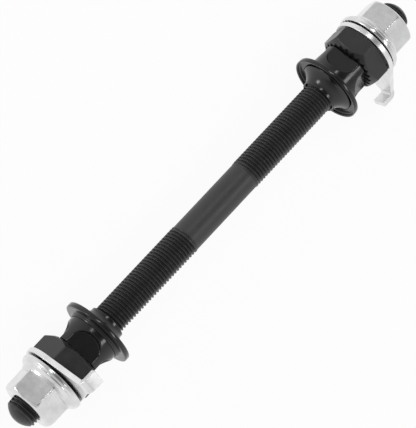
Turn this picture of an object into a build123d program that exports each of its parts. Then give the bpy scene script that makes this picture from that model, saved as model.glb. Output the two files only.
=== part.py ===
from build123d import *
import os
from math import acos, atan2, cos, degrees, hypot, radians, sin, sqrt

# Bicycle hub axle laid down on its two dust caps and one hook tip.
# X runs along the axle, Z is up, the origin is on the axle's axis half way along.
# Sizes in millimetres. Each end piece is drawn about X with its hub side at x = 0,
# growing outwards, and is then set on the right (+X) or the left (-X) end.

# Axle: 3/8 inch by 24 threads per inch at both ends, a slightly thinner plain middle
thread_diameter = 9.5
plain_diameter = 9.15
plain_length = 25.0
thread_runout = 0.5
end_protrusion = 4.4
dome_radius = 6.0
lead_diameter = 9.4
lead_gap = 0.15
lead_taper = 0.6

# Stack of pieces at each end, from the fork seat inwards and outwards
over_locknut_distance = 130.0
seat_gap = 0.05
thread_clearance = 0.05

# Flange nut: only the middle of its inner face touches the washer, and the rest slopes up to the rim
nut_across_flats = 15.0
nut_height = 11.4
nut_face_diameter = 13.0
nut_chamfer_length = 1.4
flange_diameter = 20.3
flange_rim = 1.3
flange_rim_lift = 0.75
flange_skirt_height = 1.9
flange_skirt_top_diameter = 15.6
flange_contact_diameter = 13.0

# Tab washer: a round disc drawn out into an arm with a bent tip, lying to one side in its clearance
washer_diameter = 20.2
washer_thickness = 1.6
washer_clearance = 0.5
washer_shift = 0.4
hook_reach = 18.8
hook_width = 4.2
hook_length = 3.8
hook_bend_radius = 0.6
left_hook_angle = 108.0

# Locknut
locknut_across_flats = 17.6
locknut_thickness = 6.5
locknut_chamfer_diameter = 16.2
locknut_chamfer_length = 1.8
locknut_teeth = 18
locknut_tooth_depth = 0.4
locknut_tooth_inner_diameter = 12.0

# Cone: a round body with four wrench flats outside and the ball race inside
cone_length = 13.3
cone_body_diameter = 16.0
cone_across_flats = 13.0
cone_flat_length = 6.0
cone_flat_end_radius = 5.2
race_lip_diameter = 10.9
race_lip_length = 0.8
race_diameter = 17.2
race_length = 3.2
race_radius = 3.6
race_steps = 3

# Dust cap on the cone's body behind the race
cap_diameter = 22.0
cap_clearance = 0.05
cap_race_gap = 0.3
cap_floor_thickness = 0.5
cap_rim_depth = 1.0
cap_rim_width = 0.7
cap_dish_flare = 0.4

# How the pieces are turned about the axle, in degrees from +Y towards +Z
nut_turn = {"right": 28.0, "left": 33.0}
locknut_turn = {"right": 28.5, "left": 59.0}
cone_turn = {"right": 61.0, "left": 81.0}

# Places along the axle, measured outwards from its middle
locknut_inner = over_locknut_distance / 2 - locknut_thickness
cone_tip = locknut_inner - seat_gap - cone_length
cap_back = cone_tip + race_lip_length + race_length + cap_race_gap
washer_inner = over_locknut_distance / 2 + seat_gap
nut_inner = washer_inner + washer_thickness + seat_gap
axle_half_length = nut_inner + nut_height + end_protrusion

bore_radius = thread_diameter / 2 + thread_clearance

# The right hook leans on the floor beside the two dust caps: its lower corner
# lies as far below the axis as the caps' rims do.
hook_corner_reach = hypot(hook_reach, hook_width / 2)
hook_corner_angle = degrees(atan2(hook_width / 2, hook_reach))
right_hook_angle = 270.0 - hook_corner_angle - degrees(acos(cap_diameter / 2 / hook_corner_reach))
hook_angle = {"right": right_hook_angle, "left": left_hook_angle}


def turned(outline):
    """Solid of revolution about X from a closed outline with y as the radius."""
    return revolve(make_face(outline), Axis.X)


def hexagon_bar(across_flats, length):
    """Hexagonal bar along X with a corner on +Y."""
    section = RegularPolygon(across_flats / 2, 6, major_radius=False)
    return extrude(Plane.YZ * section, length)


def threaded_bore(length):
    """Cutter for a bore that runs on the thread."""
    return extrude(Plane.YZ * Circle(bore_radius), length)


def radial_teeth(count, depth, inner_radius, outer_radius):
    """Cutters for a ring of V grooves in the face at x = 0, as deep as they are half wide."""
    section = make_face(Polyline((-depth, 0, 2 * depth), (depth, 0, 0), (-depth, 0, -2 * depth), close=True))
    groove = Pos(0, inner_radius, 0) * extrude(section, outer_radius - inner_radius, dir=(0, 1, 0))
    return [Rot(X=index * 360.0 / count) * groove for index in range(count)]


def axle():
    """Rod with two threaded lengths, a plain middle, and a lead and a dome at each end."""
    thread_radius = thread_diameter / 2
    lead_radius = lead_diameter / 2
    plain_radius = plain_diameter / 2
    runout = plain_length / 2
    lead_start = nut_inner + nut_height + lead_gap
    lead_end = axle_half_length - dome_radius + sqrt(dome_radius**2 - lead_radius**2)
    half = [
        Line((0, 0), (0, plain_radius)),
        Polyline(
            (0, plain_radius),
            (runout, plain_radius),
            (runout + thread_runout, thread_radius),
            (lead_start, thread_radius),
            (lead_start + lead_taper, lead_radius),
            (lead_end, lead_radius),
        ),
        RadiusArc((lead_end, lead_radius), (axle_half_length, 0), dome_radius),
        Line((axle_half_length, 0), (0, 0)),
    ]
    end = turned(half)
    return end + Rot(Z=180.0) * end


def axle_nut():
    """Hexagonal nut with a chamfered outer end and a skirted flange."""
    corner_radius = nut_across_flats / sqrt(3)
    envelope = turned(
        Polyline(
            (0, 0),
            (0, corner_radius),
            (nut_height - nut_chamfer_length, corner_radius),
            (nut_height, nut_face_diameter / 2),
            (nut_height, 0),
            close=True,
        )
    )
    flange_radius = flange_diameter / 2
    rim_end = flange_rim_lift + flange_rim
    flange = turned(
        Polyline(
            (0, 0),
            (0, flange_contact_diameter / 2),
            (flange_rim_lift, flange_radius),
            (rim_end, flange_radius),
            (rim_end + flange_skirt_height, flange_skirt_top_diameter / 2),
            (rim_end + flange_skirt_height, 0),
            close=True,
        )
    )
    shank = Pos(rim_end) * hexagon_bar(nut_across_flats, nut_height - rim_end)
    body = (shank & envelope) + flange
    return body - threaded_bore(nut_height)


def tab_washer():
    """Disc with a tapering arm on +Y whose tip is bent towards the hub."""
    half_width = hook_width / 2
    outer_bend = hook_bend_radius + washer_thickness
    bend_start = hook_reach - outer_bend
    disc = Circle(washer_diameter / 2)
    arm_end = Line((bend_start, half_width), (bend_start, -half_width))
    plate = extrude(Plane.YZ * make_hull(disc.edges() + [arm_end]), washer_thickness)
    bend_x = -hook_bend_radius
    tip_x = -hook_length
    inner_y = bend_start + hook_bend_radius
    profile = [
        CenterArc((bend_x, bend_start), hook_bend_radius, 0, 90),
        Polyline((bend_x, inner_y), (tip_x, inner_y), (tip_x, hook_reach), (bend_x, hook_reach)),
        CenterArc((bend_x, bend_start), outer_bend, 0, 90),
        Line((washer_thickness, bend_start), (0, bend_start)),
    ]
    tab = extrude(make_face(profile), half_width, both=True)
    hole = extrude(Plane.YZ * Circle(thread_diameter / 2 + washer_clearance), washer_thickness)
    return plate + tab - hole


def locknut():
    """Flat hexagonal nut, chamfered and toothed on the side that meets the cone."""
    corner_radius = locknut_across_flats / sqrt(3)
    envelope = turned(
        Polyline(
            (0, 0),
            (0, locknut_chamfer_diameter / 2),
            (locknut_chamfer_length, corner_radius),
            (locknut_thickness, corner_radius),
            (locknut_thickness, 0),
            close=True,
        )
    )
    body = hexagon_bar(locknut_across_flats, locknut_thickness) & envelope
    inner_radius = locknut_tooth_inner_diameter / 2
    teeth = radial_teeth(locknut_teeth, locknut_tooth_depth, inner_radius, locknut_across_flats)
    return body - threaded_bore(locknut_thickness) - teeth


def cone():
    """Body with the ball race at x = 0 and four wrench flats at its outer end."""
    body_radius = cone_body_diameter / 2
    lip_radius = race_lip_diameter / 2
    shoulder_radius = race_diameter / 2
    race_end = race_lip_length + race_length
    race = RadiusArc((race_lip_length, lip_radius), (race_end, shoulder_radius), -race_radius)
    blank = turned(
        [
            Polyline((0, 0), (0, lip_radius), (race_lip_length, lip_radius)),
            Polyline(*[race @ (step / race_steps) for step in range(race_steps + 1)]),
            Polyline(
                (race_end, shoulder_radius),
                (race_end, body_radius),
                (cone_length, body_radius),
                (cone_length, 0),
                (0, 0),
            ),
        ]
    )
    arc_x = cone_length - cone_flat_length + cone_flat_end_radius
    pocket = Pos(arc_x, 0) * Circle(cone_flat_end_radius)
    pocket += Pos(arc_x + cone_length / 2, 0) * Rectangle(cone_length, 2 * cone_flat_end_radius)
    cutter = Pos(0, 0, cone_across_flats / 2) * extrude(pocket, body_radius)
    flats = [Rot(X=90.0 * index) * cutter for index in range(4)]
    return blank - flats - threaded_bore(cone_length)


def dust_cap():
    """Dished cap, open towards the hub, with its floor's inner face at x = 0."""
    bore = cone_body_diameter / 2 + cap_clearance
    rim = cap_diameter / 2
    dish = rim - cap_rim_width
    return turned(
        Polyline(
            (0, bore),
            (0, dish - cap_dish_flare),
            (-cap_rim_depth, dish),
            (-cap_rim_depth, rim),
            (cap_floor_thickness, rim),
            (cap_floor_thickness, bore),
            close=True,
        )
    )


def set_on_axle(piece, distance, side, angle):
    """Piece moved to its distance from the middle, with its +Y turned to the angle."""
    if side == "right":
        return Pos(X=distance) * Rot(X=angle) * piece
    return Pos(X=-distance) * Rot(Z=180.0) * Rot(X=180.0 - angle) * piece


def save(name, piece):
    export_step(piece, os.path.join("parts", name + ".step"))


os.makedirs("parts", exist_ok=True)
save("axle", axle())
for side in ("left", "right"):
    save("axle_nut_" + side, set_on_axle(axle_nut(), nut_inner, side, nut_turn[side]))
    washer = set_on_axle(tab_washer(), washer_inner, side, hook_angle[side])
    save("tab_washer_" + side, Pos(Y=washer_shift if side == "left" else -washer_shift) * washer)
    save("locknut_" + side, set_on_axle(locknut(), locknut_inner, side, locknut_turn[side]))
    save("cone_" + side, set_on_axle(cone(), cone_tip, side, cone_turn[side]))
    save("dust_cap_" + side, set_on_axle(dust_cap(), cap_back, side, 0.0))
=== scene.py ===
"""Looks of a bicycle hub axle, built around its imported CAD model."""

from math import acos, asin, cos, degrees, hypot, pi, radians, sin, sqrt

import bmesh
import bpy
import numpy as np
from mathutils import Matrix, Vector


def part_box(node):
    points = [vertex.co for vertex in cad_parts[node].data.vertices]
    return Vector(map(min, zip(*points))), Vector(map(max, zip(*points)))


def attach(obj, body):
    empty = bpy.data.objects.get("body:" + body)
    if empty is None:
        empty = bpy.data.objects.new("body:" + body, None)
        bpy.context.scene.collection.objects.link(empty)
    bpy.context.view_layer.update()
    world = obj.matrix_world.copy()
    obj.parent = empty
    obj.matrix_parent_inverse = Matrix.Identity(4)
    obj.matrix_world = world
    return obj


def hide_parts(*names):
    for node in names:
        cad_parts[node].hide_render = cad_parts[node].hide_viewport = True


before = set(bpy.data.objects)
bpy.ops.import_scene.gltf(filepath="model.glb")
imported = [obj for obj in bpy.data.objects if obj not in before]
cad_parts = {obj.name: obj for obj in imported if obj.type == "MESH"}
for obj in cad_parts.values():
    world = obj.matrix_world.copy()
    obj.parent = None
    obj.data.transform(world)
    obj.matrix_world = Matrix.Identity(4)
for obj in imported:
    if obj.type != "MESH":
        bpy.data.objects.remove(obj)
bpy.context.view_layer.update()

# Shapes are worked out in millimetres, and come into the scene in metres.
# Each end piece is drawn about X with its hub side at x = 0, growing outwards.
MM = 0.001
SIDES = {"right": 1, "left": -1}


def reach(node, corner, axis):
    """One coordinate of a CAD node's box in millimetres. Corner 0 is the lowest, 1 the highest."""
    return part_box(node)[corner][axis] / MM


# Places along the axle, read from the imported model
seat_gap = 0.05
axle_end = reach("axle", 1, 0)
nut_inner = reach("axle_nut_right", 0, 0)
nut_height = reach("axle_nut_right", 1, 0) - nut_inner
flange_radius = reach("axle_nut_right", 1, 2)
washer_inner = reach("locknut_right", 1, 0) + seat_gap
washer_thickness = reach("tab_washer_right", 1, 0) - washer_inner
locknut_inner = reach("locknut_right", 0, 0)
locknut_thickness = reach("locknut_right", 1, 0) - locknut_inner
cone_tip = reach("cone_right", 0, 0)
cone_length = reach("cone_right", 1, 0) - cone_tip
cap_front = reach("dust_cap_right", 0, 0)
cap_rear = reach("dust_cap_right", 1, 0)
cap_radius = reach("dust_cap_right", 1, 2)
floor_height = -cap_radius

# Axle: 3/8 inch by 24 threads per inch, each thread flat over a tenth of the pitch at crest and root
thread_pitch = 25.4 / 24
thread_radius = 4.75
thread_root_radius = 4.12
thread_flat = 0.1
thread_runout = 0.5
root_runout = 1.6
lead_radius = 4.7
lead_gap = 0.15
lead_taper = 0.6
plain_radius = 4.575
plain_half_length = 12.5
dome_radius = 6.0

# Threaded bores, plain here because nothing shows inside them
bore_radius = 4.8
bore_countersink = 0.5
mouth_radius = bore_radius + bore_countersink
bore_tolerance = 0.01

# Flange nut: a skirt slopes up from the rim to a small step, and a collar goes on to the hexagon
nut_across_flats = 15.0
nut_face_radius = 6.1
nut_rounding_length = 1.9
nut_corner_room = 0.1
nut_edge_blend = 0.45
nut_columns = 360
flange_rim = 1.55
flange_rim_lift = 0.5
flange_edge_rounding = 0.35
flange_rim_rounding = 0.6
flange_skirt_height = 1.9
flange_step_share = 0.62
flange_step_half_width = 0.08
flange_skirt_end_radius = 8.76
flange_collar_start_radius = 8.6
flange_collar_end_radius = 8.4
flange_end_slope = 5.0
flange_end_room = 0.4
flange_blend = 0.16
flange_tooth_count = 36
flange_tooth_depth = 0.4
flange_tooth_inner_radius = 6.5
flange_tooth_margin = 0.4
tooth_fade = 0.4

# Tab washer: it lies to one side in its clearance on the axle
washer_radius = 10.1
washer_bore_radius = 5.25
washer_shift = {"right": -0.4, "left": 0.4}
washer_edge = 0.16
washer_steps = 96
hook_reach = 18.8
hook_width = 4.2
hook_length = 3.8
hook_bend_radius = 0.6
left_hook_angle = 108.0

# Locknut
locknut_across_flats = 17.6
locknut_chamfer_radius = 8.1
locknut_chamfer_length = 1.8
locknut_outer_edge = 0.5
locknut_outer_edge_drop = 0.9
locknut_edge_blend = 0.18
locknut_columns = 384
locknut_tooth_count = 24
locknut_tooth_depth = 0.4
locknut_tooth_inner_radius = 6.0

# Cone: its hollow race is a little shallower than the CAD's
cone_body_radius = 8.0
cone_across_flats = 13.0
cone_flat_length = 6.0
cone_flat_end_radius = 5.2
cone_edge_blend = 0.18
cone_end_chamfer = 0.35
cone_end_face_radius = 5.9
cone_columns = 360
race_lip_radius = 5.45
race_lip_length = 0.8
race_lip_rounding = 0.15
race_shoulder_radius = 8.6
race_shoulder_rounding = 0.15
race_length = 3.2
race_radius = 5.5

# Dust cap
cap_bore_radius = 8.05
cap_floor_thickness = 0.5
cap_rim_width = 0.45
cap_edge = 0.1
cap_dish_flare = 0.02
cap_corner_radius = 0.5
cap_back_rounding = 0.3
cap_back_middle = 0.08
cap_sleeve_radius = 8.4
cap_sleeve_length = 1.0
cap_columns = 256
cap_longest_step = 0.6

# Turn of each piece about the axle, in degrees from +Y towards +Z. The right hook leans on the floor.
nut_turn = {"right": 28.0, "left": 33.0}
locknut_turn = {"right": 28.5, "left": 59.0}
cone_turn = {"right": 61.0, "left": 81.0}
hook_corner_reach = hypot(hook_reach, hook_width / 2)
hook_corner_angle = degrees(asin(hook_width / 2 / hook_corner_reach))
right_hook_angle = 270.0 - hook_corner_angle - degrees(acos(cap_radius / hook_corner_reach))
hook_angle = {"right": right_hook_angle, "left": left_hook_angle}

# Camera, fitted to the photograph: a long lens that looks down on the lying axle
image_height = 428
sensor_width = 36.0
focal_pixels = 2135.0
camera_distance = 600.0
camera_turn = radians(16.68)
camera_lean = radians(80.6)
camera_roll = radians(46.84)
target_right = -1.95
target_down = 1.975

# Room: how strong it is for even light and in reflections, and where reflections find it darker
room_strength = 0.65
reflected_strength = 0.97
mouth_direction = (0.29, 0.03, 0.96)
mouth_darkness = 0.8
mouth_narrowness = 2.0
end_wall_direction = (-1.0, 0.0, 0.15)
end_wall_darkness = 0.6
end_wall_narrowness = 10.0

# Floor: the camera and reflections see nearly even white, so that the shadows on it stay faint
floor_half_size = 3.0
floor_grey = 0.86
floor_white_share = 0.93


# Materials

def new_material(name):
    """Node material with its principled shader, and a helper that adds linked nodes."""
    material = bpy.data.materials.new(name)
    material.use_nodes = True
    tree = material.node_tree
    shader = tree.nodes["Principled BSDF"]

    def add(kind, **inputs):
        """New node with some inputs set or linked. An underscore in a name stands for a space."""
        node = tree.nodes.new(kind)
        for key, value in inputs.items():
            socket = node.inputs[key.replace("_", " ")]
            if isinstance(value, bpy.types.NodeSocket):
                tree.links.new(value, socket)
            else:
                socket.default_value = value
        return node

    return material, tree, shader, add


def metal(name, colour, metallic, roughness, spread, grain, grain_depth, rings, ring_depth):
    """Plated or blackened steel: cloudy roughness, fine grain and turning marks about the axle."""
    material, tree, shader, add = new_material(name)
    place = add("ShaderNodeTexCoord").outputs["Object"]
    clouds = add("ShaderNodeTexNoise", Vector=place, Scale=260.0, Detail=4.0, Roughness=0.6)
    finish = add(
        "ShaderNodeMapRange",
        Value=clouds.outputs["Fac"],
        From_Min=0.3,
        From_Max=0.7,
        To_Min=roughness - spread,
        To_Max=roughness + spread,
    )
    tint = add("ShaderNodeValToRGB", Fac=clouds.outputs["Fac"])
    tint.color_ramp.elements[0].position = 0.3
    tint.color_ramp.elements[0].color = [channel * 0.88 for channel in colour] + [1.0]
    tint.color_ramp.elements[1].position = 0.7
    tint.color_ramp.elements[1].color = [min(1.0, channel * 1.08) for channel in colour] + [1.0]
    fine = add("ShaderNodeTexNoise", Vector=place, Scale=grain, Detail=3.0, Roughness=0.65)
    grain_bump = add("ShaderNodeBump", Height=fine.outputs["Fac"], Distance=grain_depth, Strength=1.0)
    stretched = add("ShaderNodeVectorMath", Vector=place)
    stretched.operation = "MULTIPLY"
    stretched.inputs[1].default_value = (1.0, 0.03, 0.03)
    turning = add("ShaderNodeTexNoise", Vector=stretched.outputs["Vector"], Scale=rings, Detail=2.0)
    ring_bump = add(
        "ShaderNodeBump",
        Height=turning.outputs["Fac"],
        Distance=ring_depth,
        Strength=1.0,
        Normal=grain_bump.outputs["Normal"],
    )
    tree.links.new(tint.outputs["Color"], shader.inputs["Base Color"])
    tree.links.new(finish.outputs["Result"], shader.inputs["Roughness"])
    tree.links.new(ring_bump.outputs["Normal"], shader.inputs["Normal"])
    shader.inputs["Metallic"].default_value = metallic
    shader.inputs["IOR"].default_value = 1.5
    return material


black_thread = metal(
    "black_thread", (0.018, 0.018, 0.019), metallic=0.0, roughness=0.38, spread=0.06,
    grain=2600.0, grain_depth=8e-6, rings=3000.0, ring_depth=4e-6,
)
black_plain = metal(
    "black_plain", (0.033, 0.033, 0.034), metallic=0.0, roughness=0.46, spread=0.05,
    grain=2600.0, grain_depth=1.2e-5, rings=3000.0, ring_depth=3e-6,
)
black_satin = metal(
    "black_satin", (0.017, 0.017, 0.018), metallic=0.0, roughness=0.34, spread=0.07,
    grain=2400.0, grain_depth=1.5e-5, rings=2500.0, ring_depth=3e-6,
)
black_gloss = metal(
    "black_gloss", (0.006, 0.006, 0.0065), metallic=0.0, roughness=0.18, spread=0.04,
    grain=1800.0, grain_depth=4e-6, rings=2200.0, ring_depth=6e-6,
)
bright_zinc = metal(
    "bright_zinc", (0.74, 0.742, 0.746), metallic=1.0, roughness=0.18, spread=0.04,
    grain=1500.0, grain_depth=1.2e-5, rings=2500.0, ring_depth=3e-6,
)
bright_sheet = metal(
    "bright_sheet", (0.8, 0.8, 0.802), metallic=1.0, roughness=0.3, spread=0.05,
    grain=1300.0, grain_depth=1.2e-5, rings=1800.0, ring_depth=2e-6,
)


# Outlines and heights

def smooth_lower(first, second, width):
    """The lower of two heights, blended over a width where they cross."""
    overlap = np.maximum(width - np.abs(first - second), 0.0) / width
    return np.minimum(first, second) - overlap * overlap * width / 4


def smooth_upper(first, second, width):
    """The higher of two heights, blended over a width where they cross."""
    return -smooth_lower(-first, -second, width)


def hexagon(angle, across_flats):
    """Radius of a hexagon with slightly rounded corners, one of them at angle 0."""
    sharpness = 130.0
    total = 0.0
    for flat in range(6):
        total = total + np.maximum(np.cos(angle - radians(30.0 + 60.0 * flat)), 0.0) ** sharpness
    return across_flats / 2 / total ** (1.0 / sharpness)


def teeth(angle, count, depth):
    """Depth of a ring of V grooves with flat tops, at each angle about the axis."""
    phase = np.abs((angle * count / (2 * pi)) % 1.0 - 0.5) * 2.0
    return depth * np.clip(phase * 1.5 - 0.5, 0.0, 1.0)


def arc(start, end, radius, steps):
    """Points of the arc between two (x, r) points. A positive radius bulges to the right of its way."""
    (x0, r0), (x1, r1) = start, end
    chord = hypot(x1 - x0, r1 - r0)
    offset = sqrt(radius * radius - chord * chord / 4) * (1 if radius > 0 else -1)
    centre_x = (x0 + x1) / 2 - (r1 - r0) / chord * offset
    centre_r = (r0 + r1) / 2 + (x1 - x0) / chord * offset
    first = np.arctan2(r0 - centre_r, x0 - centre_x)
    last = np.arctan2(r1 - centre_r, x1 - centre_x)
    sweep = (last - first + pi) % (2 * pi) - pi
    return [
        (
            centre_x + abs(radius) * cos(first + sweep * step / steps),
            centre_r + abs(radius) * sin(first + sweep * step / steps),
        )
        for step in range(steps + 1)
    ]


def run(start, end, steps):
    """Evenly spaced (x, r) points on a straight line, its last point left out."""
    return [
        (start[0] + (end[0] - start[0]) * step / steps, start[1] + (end[1] - start[1]) * step / steps)
        for step in range(steps)
    ]


def rounded(points, radius, steps):
    """Closed (x, r) outline in which a small curve of some steps takes the place of each corner."""
    result = []
    count = len(points)
    for index in range(count):
        corner = Vector(points[index])
        before = Vector(points[index - 1]) - corner
        after = Vector(points[(index + 1) % count]) - corner
        cut = min(radius, before.length / 2.2, after.length / 2.2)
        start = corner + before.normalized() * cut
        end = corner + after.normalized() * cut
        for step in range(steps + 1):
            share = step / steps
            point = start * (1 - share) ** 2 + corner * 2 * share * (1 - share) + end * share**2
            result.append((point.x, point.y))
    return result


def divided(points, length):
    """Closed (x, r) outline with its long stretches divided."""
    result = []
    for index, start in enumerate(points):
        end = points[(index + 1) % len(points)]
        steps = max(1, int(hypot(end[0] - start[0], end[1] - start[1]) / length))
        result.extend(run(start, end, steps))
    return result


# Meshes

def columns(count):
    """Angles of a number of even steps once around the axis."""
    return np.arange(count) * 2 * pi / count


def polar(x, radius, angle):
    """Points in millimetres from arrays of distance along the axis, radius and angle."""
    x, radius, angle = np.broadcast_arrays(x, radius, angle)
    return np.stack([x, radius * np.cos(angle), radius * np.sin(angle)], axis=-1)


def set_on_axle(points, distance, side, angle):
    """Points drawn about X, moved to their distance from the middle and turned, as the CAD pieces are."""
    sign = SIDES[side]
    turn = radians(angle)
    x, y, z = points[..., 0], points[..., 1], points[..., 2]
    return np.stack(
        [
            sign * (distance + x),
            y * cos(turn) - sign * z * sin(turn),
            y * sin(turn) + sign * z * cos(turn),
        ],
        axis=-1,
    )


def finish_mesh(mesh):
    """Joins points that meet, drops empty faces and turns every face outwards."""
    shape = bmesh.new()
    shape.from_mesh(mesh)
    bmesh.ops.remove_doubles(shape, verts=shape.verts, dist=1e-7)
    bmesh.ops.dissolve_degenerate(shape, edges=shape.edges, dist=1e-8)
    bmesh.ops.recalc_face_normals(shape, faces=shape.faces)
    for face in shape.faces:
        face.smooth = True
    shape.to_mesh(mesh)
    shape.free()


def mesh_object(name, verts, faces, material, body, node):
    """Smooth mesh in metres that stands for a CAD node and rides on its body."""
    mesh = bpy.data.meshes.new(name)
    mesh.from_pydata(verts, [], faces)
    piece = bpy.data.objects.new(name, mesh)
    bpy.context.scene.collection.objects.link(piece)
    finish_mesh(mesh)
    mesh.materials.append(material)
    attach(piece, body)
    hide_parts(node)
    return piece


def grid_object(name, points, closed_rows, material, body, node):
    """Object from rows of points that each go once around the axis."""
    rows, around = points.shape[:2]
    faces = []
    for row in range(rows if closed_rows else rows - 1):
        below = row * around
        above = (row + 1) % rows * around
        for column in range(around):
            beside = (column + 1) % around
            faces.append((below + column, below + beside, above + beside, above + column))
    verts = (points.reshape(-1, 3) * MM).tolist()
    return mesh_object(name, verts, faces, material, body, node)


# Axle: two helical threads that fade into the plain middle, and domed ends

thread_phases = np.array([0.05, 0.11, 0.25, 0.39, 0.46, 0.54, 0.61, 0.75, 0.89, 0.95])
thread_columns = 48
lead_start = nut_inner + nut_height + lead_gap
dome_centre = axle_end - dome_radius
thread_end = dome_centre + sqrt(dome_radius**2 - thread_root_radius**2)


def crest_limit(x):
    """Outside radius of the threaded length at a distance from the middle."""
    lead = np.interp(x, [lead_start, lead_start + lead_taper], [thread_radius, lead_radius])
    dome = np.sqrt(np.maximum(dome_radius**2 - np.maximum(x - dome_centre, 0.0) ** 2, 0.0))
    start = plain_radius + (x - plain_half_length) / thread_runout * (thread_radius - plain_radius)
    return np.minimum(np.minimum(lead, dome), np.maximum(start, plain_radius))


def root_limit(x):
    """Radius at the bottom of the groove, which runs out towards the plain middle."""
    share = np.clip((x - plain_half_length) / root_runout, 0.0, 1.0)
    return plain_radius + (thread_root_radius - plain_radius) * share


def thread_points(sign):
    """Grid of one threaded length. Its rows slant with the helix, and end on flat circles."""
    angle = columns(thread_columns)
    slant = angle / (2 * pi)
    first = plain_half_length
    turns = int((thread_end - first) / thread_pitch) + 3
    steps = (np.arange(-1, turns)[:, None] + thread_phases[None, :]).ravel()
    start = round(sign * first / thread_pitch) if sign > 0 else round(-thread_end / thread_pitch) - 2
    x = (steps[:, None] + start + slant[None, :]) * thread_pitch
    phase = (x / thread_pitch - slant[None, :]) % 1.0
    flank = np.abs(phase - 0.5) * 2.0
    height = np.clip((flank - thread_flat) / (1.0 - 2 * thread_flat), 0.0, 1.0)
    low, high = (first, thread_end) if sign > 0 else (-thread_end, -first)
    x = np.clip(x, low, high)
    away = np.abs(x)
    crest = root_limit(away) + (thread_radius - thread_root_radius) * height
    radius = np.minimum(crest, np.maximum(crest_limit(away), thread_root_radius))
    return polar(x, radius, angle[None, :])


def axle_piece():
    """Axle from one dome over both threads to the other, with a duller plain middle."""
    angle = columns(thread_columns)[None, :]
    dome_steps = 14
    widest = asin(thread_root_radius / dome_radius)
    tip = np.array([widest * (1 - step / dome_steps) for step in range(dome_steps + 1)])[:, None]
    dome = polar(dome_centre + dome_radius * np.cos(tip), dome_radius * np.sin(tip), angle)
    other_dome = polar(-dome_centre - dome_radius * np.cos(tip), dome_radius * np.sin(tip), angle)[::-1]
    middle_steps = 20
    middle = np.linspace(-plain_half_length, plain_half_length, middle_steps + 1)[:, None]
    plain = polar(middle, plain_radius, angle)
    points = np.concatenate([other_dome, thread_points(-1), plain, thread_points(1), dome])
    rod = grid_object("axle_rod", points, False, black_thread, "axle", "axle")
    rod.data.materials.append(black_plain)
    for face in rod.data.polygons:
        if abs(face.center.x) < plain_half_length * MM:
            face.material_index = 1
    return rod


# Flange nut: hexagon, rounded outer end and a skirted flange with a toothed face

rim_end = flange_rim_lift + flange_rim
skirt_end = rim_end + flange_skirt_height
flange_step = rim_end + flange_skirt_height * flange_step_share


def flange_profile(x):
    """Radius of the flange's rim, skirt and collar at each distance from the washer."""
    steepest = 0.95
    past = np.clip((x - rim_end + flange_rim_rounding) / flange_rim_rounding, 0.0, steepest)
    rim = flange_radius - flange_rim_rounding * (1.0 - np.sqrt(1.0 - past * past))
    places = [rim_end, flange_step - flange_step_half_width, flange_step + flange_step_half_width, skirt_end]
    radii = [flange_radius, flange_skirt_end_radius, flange_collar_start_radius, flange_collar_end_radius]
    profile = np.minimum(np.interp(x, places, radii), rim)
    return np.where(x > skirt_end, flange_collar_end_radius - flange_end_slope * (x - skirt_end), profile)


def toothed_face(radius, angle):
    """Height of the flange's toothed face, which slopes up to the rim. The teeth end short of the rim."""
    inner = flange_tooth_inner_radius
    share = np.clip((radius - inner) / (flange_radius - inner), 0.0, 1.0)
    start = np.clip((radius - inner) / tooth_fade, 0.0, 1.0)
    end = np.clip((flange_radius - flange_tooth_margin - radius) / tooth_fade, 0.0, 1.0)
    return flange_rim_lift * share + teeth(angle, flange_tooth_count, flange_tooth_depth) * start * end


def axle_nut_piece(side):
    """Flange nut from its bore over the toothed face, the flange and the hexagon to the outer end."""
    angle = columns(nut_columns)[None, :]
    edge = flange_edge_rounding
    rim_start = (flange_rim_lift, flange_radius - edge)
    face = np.array([
        (nut_height - bore_countersink, bore_radius),
        (bore_countersink, bore_radius),
        *run((0.0, mouth_radius), (0.0, flange_tooth_inner_radius), 3),
        *run((0.0, flange_tooth_inner_radius), rim_start, 12),
        *arc(rim_start, (flange_rim_lift + edge, flange_radius), -edge, 5),
    ])
    flat_end = nut_height - nut_rounding_length
    flange_end = skirt_end + flange_end_room
    corner_radius = nut_across_flats / sqrt(3) + nut_corner_room
    bend = np.linspace(0.0, pi / 2, 22)[1:]
    side_x = np.concatenate([
        np.linspace(flange_rim_lift + edge, flange_end, 46)[1:],
        np.linspace(flange_end, flat_end, 12)[1:],
        flat_end + nut_rounding_length * np.sin(bend),
    ])[:, None]
    rounding = nut_face_radius + (corner_radius - nut_face_radius) * np.cos(bend)
    straight = np.full(len(side_x) - len(bend), corner_radius + nut_edge_blend)
    limit = np.concatenate([straight, rounding])[:, None]
    hexagonal = smooth_lower(hexagon(angle, nut_across_flats), limit, nut_edge_blend)
    side_r = smooth_upper(hexagonal, flange_profile(side_x), flange_blend)
    end_r = np.linspace(nut_face_radius, mouth_radius, 4)[1:, None]
    points = np.concatenate([
        polar(face[:, :1], face[:, 1:], angle),
        polar(side_x, side_r, angle),
        polar(nut_height, end_r, angle),
    ])
    away = np.hypot(points[..., 1], points[..., 2])
    toothed = (points[..., 0] < rim_end) & (away > mouth_radius + bore_tolerance)
    raised = np.maximum(points[..., 0], toothed_face(away, angle))
    points[..., 0] = np.where(toothed, raised, points[..., 0])
    placed = set_on_axle(points, nut_inner, side, nut_turn[side])
    node = "axle_nut_" + side
    return grid_object("flange_nut_" + side, placed, True, bright_zinc, "nut_" + side, node)


# Locknut: hexagon, chamfered and toothed on the side that meets the cone

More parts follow.
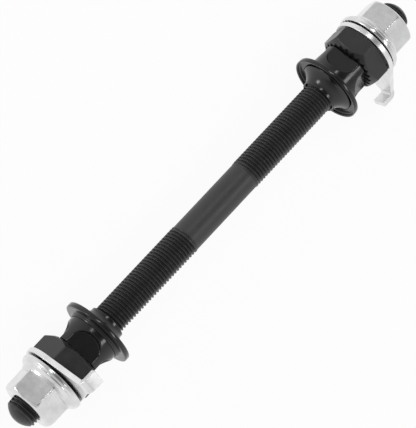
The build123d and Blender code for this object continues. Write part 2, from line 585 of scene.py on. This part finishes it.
def locknut_piece(side):
    """Locknut from its bore over the toothed face and the chamfer to the outer face."""
    angle = columns(locknut_columns)[None, :]
    thickness = locknut_thickness
    corner_radius = locknut_across_flats / sqrt(3)
    edge_start = thickness - locknut_outer_edge
    edge_radius = corner_radius - locknut_outer_edge_drop
    profile = np.array([
        (thickness - bore_countersink, bore_radius),
        (bore_countersink, bore_radius),
        *run((0.0, mouth_radius), (0.0, locknut_chamfer_radius), 8),
        *run((0.0, locknut_chamfer_radius), (locknut_chamfer_length, corner_radius), 20),
        *run((locknut_chamfer_length, corner_radius), (edge_start, corner_radius), 12),
        *run((edge_start, corner_radius), (thickness, edge_radius), 5),
        *run((thickness, edge_radius), (thickness, mouth_radius), 6),
        (thickness, mouth_radius),
    ])
    profile_x = profile[:, :1]
    profile_r = profile[:, 1:]
    hexagonal = smooth_lower(hexagon(angle, locknut_across_flats), profile_r, locknut_edge_blend)
    well_inside = profile_r < locknut_chamfer_radius - 1.0
    radius = np.where(well_inside, profile_r, hexagonal)
    groove = teeth(angle, locknut_tooth_count, locknut_tooth_depth)
    fade = np.clip((radius - locknut_tooth_inner_radius) / tooth_fade, 0.0, 1.0)
    hub_side = (profile_x < thickness / 2) & (profile_r > bore_radius + bore_tolerance)
    x = np.where(hub_side, np.maximum(profile_x, groove * fade), profile_x)
    placed = set_on_axle(polar(x, radius, angle), locknut_inner, side, locknut_turn[side])
    node = "locknut_" + side
    return grid_object("lock_nut_" + side, placed, True, black_satin, node, node)


# Cone: ball race, round body and four wrench flats with round ends

race_end = race_lip_length + race_length


def cone_front():
    """Outline from the bore over the lip and up the hollow race to the body."""
    corner_steps = 3
    race_start = (race_lip_length, race_lip_radius)
    corners = [(bore_countersink, bore_radius), (0.0, mouth_radius), (0.0, race_lip_radius), race_start]
    nose = rounded(corners, race_lip_rounding, corner_steps)[:-corner_steps - 1]
    rounding = race_shoulder_rounding
    return np.array([
        (cone_length - bore_countersink, bore_radius),
        *nose,
        (race_lip_length - 0.1, race_lip_radius),
        *arc(race_start, (race_end - rounding, race_shoulder_radius), race_radius, 16),
        (race_end - rounding / 3, race_shoulder_radius - 0.02),
        (race_end, race_shoulder_radius - rounding),
        (race_end, cone_body_radius),
    ])


def cone_body(angle):
    """Rows of points along the body, over the round end walls of the flats and on to the outer face."""
    from_flat = (angle + pi / 4) % (pi / 2) - pi / 4
    flat = cone_across_flats / 2
    half_width = sqrt(cone_body_radius**2 - flat**2)
    across = np.clip(flat * np.tan(from_flat), -half_width, half_width)
    arc_centre = cone_length - cone_flat_length + cone_flat_end_radius
    edge_x = arc_centre - np.sqrt(cone_flat_end_radius**2 - across**2)
    plane = flat / np.cos(from_flat)
    cut = smooth_lower(np.full_like(plane, cone_body_radius), plane, cone_edge_blend)
    # Steep S of the end wall: how far along the axle, and the share of the cut's depth there
    wall = [(-0.25, 0.0), (-0.12, 0.03), (-0.04, 0.14), (0.0, 0.5), (0.04, 0.85), (0.12, 0.97), (0.25, 1.0)]
    wall_start = edge_x + wall[0][0]
    wall_end = edge_x + wall[-1][0]
    before = np.array([0.0, 0.25, 0.5, 0.75, 0.9])[:, None]
    after = np.linspace(0.0, 1.0, 10)[1:, None]
    flat_x = wall_end + (cone_length - cone_end_chamfer - wall_end) * after
    end_edge = np.full_like(plane, cone_body_radius - cone_end_chamfer)
    wall_rows = [
        polar(edge_x + shift, cone_body_radius + (cut - cone_body_radius) * depth, angle)
        for shift, depth in wall
    ]
    return [
        polar(race_end + (wall_start - race_end) * before, cone_body_radius, angle),
        *wall_rows,
        polar(flat_x, cut, angle),
        polar(cone_length, smooth_lower(end_edge, plane, cone_edge_blend), angle),
        polar(cone_length, np.full_like(plane, cone_end_face_radius), angle),
        polar(cone_length, np.full_like(plane, mouth_radius), angle),
    ]


def cone_piece(side):
    """Cone from its bore over the race and the body to the outer face."""
    angle = columns(cone_columns)[None, :]
    front = cone_front()
    points = np.concatenate([polar(front[:, :1], front[:, 1:], angle), *cone_body(angle)])
    placed = set_on_axle(points, cone_tip, side, cone_turn[side])
    node = "cone_" + side
    return grid_object("bearing_cone_" + side, placed, True, black_gloss, node, node)


# Dust cap: dished, with a thin rim towards the hub and a short sleeve behind

def dust_cap_piece(side):
    """Dust cap from a closed outline, with its floor's inner face at x = 0."""
    rim_depth = cap_rear - cap_front - cap_floor_thickness
    dish = cap_radius - cap_rim_width
    corner = cap_corner_radius
    back = cap_floor_thickness
    fillet = cap_back_rounding
    sleeve_end = back + cap_sleeve_length
    outline = divided(
        [
            (sleeve_end, cap_bore_radius),
            (back, cap_bore_radius),
            (0.0, cap_bore_radius),
            *arc((0.0, dish - corner), (-corner, dish), corner, 6),
            (-rim_depth, dish + cap_dish_flare),
            (-rim_depth, cap_radius - cap_edge),
            (-rim_depth + cap_edge, cap_radius),
            (back - fillet, cap_radius),
            (back - cap_back_middle, cap_radius - cap_back_middle),
            (back, cap_radius - fillet),
            *arc((back, cap_sleeve_radius + fillet), (back + fillet, cap_sleeve_radius), fillet, 3),
            (sleeve_end - cap_edge, cap_sleeve_radius),
            (sleeve_end, cap_sleeve_radius - cap_edge),
        ],
        cap_longest_step,
    )
    profile = np.array(outline)
    points = polar(profile[:, :1], profile[:, 1:], columns(cap_columns)[None, :])
    placed = set_on_axle(points, cap_rear - cap_floor_thickness, side, 0.0)
    node = "dust_cap_" + side
    return grid_object("dust_shield_" + side, placed, True, black_gloss, node, node)


# Tab washer: a disc drawn out into an arm, whose tip is bent towards the hub

bend_start = hook_reach - hook_bend_radius - washer_thickness


def washer_outline():
    """Points of the flat outline, from one corner of the arm's end around the disc to the other."""
    half = hook_width / 2
    away = hypot(bend_start, half)
    tangent = asin(half / away) + acos(washer_radius / away)
    points = [(bend_start, half)]
    for step in range(washer_steps + 1):
        turn = tangent + (2 * pi - 2 * tangent) * step / washer_steps
        points.append((washer_radius * cos(turn), washer_radius * sin(turn)))
    points.append((bend_start, -half))
    return points


def flat_washer(shape):
    """Fills a bmesh with the flat washer and returns the end face of its arm."""
    hole_points = [
        (washer_bore_radius * cos(turn), washer_bore_radius * sin(turn))
        for turn in columns(washer_steps)
    ]
    edges = []
    for loop in (washer_outline(), hole_points):
        verts = [shape.verts.new((0.0, y, z)) for y, z in loop]
        edges += [shape.edges.new((vert, verts[(i + 1) % len(verts)])) for i, vert in enumerate(verts)]
    bmesh.ops.triangle_fill(shape, use_beauty=True, use_dissolve=False, edges=edges)
    made = bmesh.ops.extrude_face_region(shape, geom=list(shape.faces))
    moved = [item for item in made["geom"] if isinstance(item, bmesh.types.BMVert)]
    bmesh.ops.translate(shape, verts=moved, vec=(washer_thickness, 0.0, 0.0))
    bmesh.ops.recalc_face_normals(shape, faces=shape.faces)
    return next(f for f in shape.faces if all(abs(v.co.y - bend_start) < 1e-5 for v in f.verts))


def bend_tip(shape, tip):
    """Draws the arm's end face round the bend and out to the end of the hook."""
    bend_steps = 8
    centre = Vector((-hook_bend_radius, bend_start, 0.0))
    turn = Matrix.Rotation(radians(90.0 / bend_steps), 3, "Z")
    for step in range(bend_steps):
        tip = bmesh.ops.extrude_discrete_faces(shape, faces=[tip])["faces"][0]
        bmesh.ops.rotate(shape, verts=tip.verts, cent=centre, matrix=turn)
    tip = bmesh.ops.extrude_discrete_faces(shape, faces=[tip])["faces"][0]
    bmesh.ops.translate(shape, verts=tip.verts, vec=(hook_bend_radius - hook_length, 0.0, 0.0))


def tab_washer_piece(side):
    """Tab washer with its arm turned to its angle and its sharp edges rounded."""
    shape = bmesh.new()
    bend_tip(shape, flat_washer(shape))
    shape.verts.index_update()
    points = np.array([v.co[:] for v in shape.verts])
    faces = [[v.index for v in f.verts] for f in shape.faces]
    shape.free()
    placed = set_on_axle(points, washer_inner, side, hook_angle[side])
    verts = ((placed + np.array([0.0, washer_shift[side], 0.0])) * MM).tolist()
    name = "hook_washer_" + side
    node = "tab_washer_" + side
    piece = mesh_object(name, verts, faces, bright_sheet, "washer_" + side, node)
    bevel = piece.modifiers.new("edges", "BEVEL")
    bevel.width = washer_edge * MM
    bevel.segments = 3
    bevel.limit_method = "ANGLE"
    bevel.angle_limit = radians(35.0)
    bevel.harden_normals = True
    return piece


axle_piece()
for end_side in SIDES:
    axle_nut_piece(end_side)
    tab_washer_piece(end_side)
    locknut_piece(end_side)
    cone_piece(end_side)
    dust_cap_piece(end_side)


# Camera

def make_camera():
    """Camera that looks at the axle's middle, shifted and rolled to fit the photograph."""
    towards = Vector(
        (-sin(camera_turn), cos(camera_turn) * cos(camera_lean), cos(camera_turn) * sin(camera_lean))
    )
    along = (Vector((1, 0, 0)) - towards * towards.x).normalized()
    beside = along.cross(towards)
    right = along * cos(camera_roll) + beside * sin(camera_roll)
    down = beside * cos(camera_roll) - along * sin(camera_roll)
    place = (towards * camera_distance + right * target_right + down * target_down) * MM
    camera = bpy.data.objects.new("camera", bpy.data.cameras.new("camera"))
    bpy.context.scene.collection.objects.link(camera)
    camera.matrix_world = Matrix.Translation(place) @ Matrix((right, -down, towards)).transposed().to_4x4()
    camera.data.sensor_width = sensor_width
    camera.data.lens = sensor_width * focal_pixels / image_height
    camera.data.clip_start = 0.05
    camera.data.clip_end = 20.0
    bpy.context.scene.camera = camera


# Floor, world and lamps

def make_floor():
    """Pale floor under the dust caps' rims."""
    mesh = bpy.data.meshes.new("floor")
    size = floor_half_size
    z = floor_height * MM
    corners = [(-size, -size, z), (size, -size, z), (size, size, z), (-size, size, z)]
    mesh.from_pydata(corners, [], [(0, 1, 2, 3)])
    floor = bpy.data.objects.new("floor", mesh)
    bpy.context.scene.collection.objects.link(floor)
    material, tree, shader, add = new_material("floor")
    shader.inputs["Base Color"].default_value = (floor_grey, floor_grey, floor_grey, 1.0)
    shader.inputs["Roughness"].default_value = 0.9
    shader.inputs["Specular IOR Level"].default_value = 0.1
    white = add("ShaderNodeEmission", Color=(1.0, 1.0, 1.0, 1.0), Strength=1.0)
    seen = add("ShaderNodeLightPath")
    either = add("ShaderNodeMath")
    either.operation = "MAXIMUM"
    tree.links.new(seen.outputs["Is Camera Ray"], either.inputs[0])
    tree.links.new(seen.outputs["Is Glossy Ray"], either.inputs[1])
    share = add("ShaderNodeMath")
    share.operation = "MULTIPLY"
    tree.links.new(either.outputs[0], share.inputs[0])
    share.inputs[1].default_value = floor_white_share
    mix = add("ShaderNodeMixShader", Fac=share.outputs[0])
    tree.links.new(shader.outputs["BSDF"], mix.inputs[1])
    tree.links.new(white.outputs["Emission"], mix.inputs[2])
    tree.links.new(mix.outputs["Shader"], tree.nodes["Material Output"].inputs["Surface"])
    mesh.materials.append(material)


def make_world():
    """White room that lights evenly. Reflections find it darker overhead and past the axle's left end."""
    world = bpy.data.worlds.new("studio")
    bpy.context.scene.world = world
    world.use_nodes = True
    tree = world.node_tree
    background = tree.nodes["Background"]
    background.inputs["Color"].default_value = (1.0, 1.0, 1.0, 1.0)
    path = tree.nodes.new("ShaderNodeLightPath")
    place = tree.nodes.new("ShaderNodeTexCoord")

    def feed(socket, value):
        """Gives a socket a number, or links another node's output to it."""
        if isinstance(value, float):
            socket.default_value = value
        else:
            tree.links.new(value, socket)

    def calculate(operation, first, second):
        """Output of a calculation with two numbers or outputs."""
        node = tree.nodes.new("ShaderNodeMath")
        node.operation = operation
        feed(node.inputs[0], first)
        feed(node.inputs[1], second)
        return node.outputs[0]

    def choose(path_name, otherwise, value):
        """One strength for rays of a kind, and another for the rest."""
        node = tree.nodes.new("ShaderNodeMix")
        feed(node.inputs["Factor"], path.outputs[path_name])
        feed(node.inputs["A"], otherwise)
        feed(node.inputs["B"], value)
        return node.outputs["Result"]

    def shade(direction, narrowness, darkness):
        """How much darker the room looks towards one direction."""
        towards = tree.nodes.new("ShaderNodeVectorMath")
        towards.operation = "DOT_PRODUCT"
        tree.links.new(place.outputs["Generated"], towards.inputs[0])
        towards.inputs[1].default_value = Vector(direction).normalized()
        closeness = calculate("POWER", calculate("MAXIMUM", towards.outputs["Value"], 0.0), narrowness)
        return calculate("MULTIPLY", closeness, darkness)

    mouth = shade(mouth_direction, mouth_narrowness, mouth_darkness)
    end_wall = shade(end_wall_direction, end_wall_narrowness, end_wall_darkness)
    reflected = calculate("SUBTRACT", calculate("SUBTRACT", reflected_strength, mouth), end_wall)
    even = choose("Is Glossy Ray", room_strength, reflected)
    feed(background.inputs["Strength"], choose("Is Camera Ray", even, 1.0))


def soft_lamp(name, place, size, power):
    """Rectangular lamp that shines on the axle's middle."""
    data = bpy.data.lights.new(name, "AREA")
    data.shape = "RECTANGLE"
    data.size, data.size_y = size
    data.energy = power
    lamp = bpy.data.objects.new(name, data)
    bpy.context.scene.collection.objects.link(lamp)
    lamp.location = place
    lamp.rotation_mode = "QUATERNION"
    lamp.rotation_quaternion = (-Vector(place)).to_track_quat("-Z", "Y")


make_camera()
make_floor()
make_world()
soft_lamp("far_side", (0.29, 0.46, 0.85), (0.36, 0.14), 1.0)
soft_lamp("near_side", (0.29, -0.5, 0.82), (0.38, 0.22), 1.5)
soft_lamp("end_side", (-0.5, 0.83, 0.24), (0.26, 0.24), 1.5)

bpy.context.scene.view_settings.view_transform = "Standard"
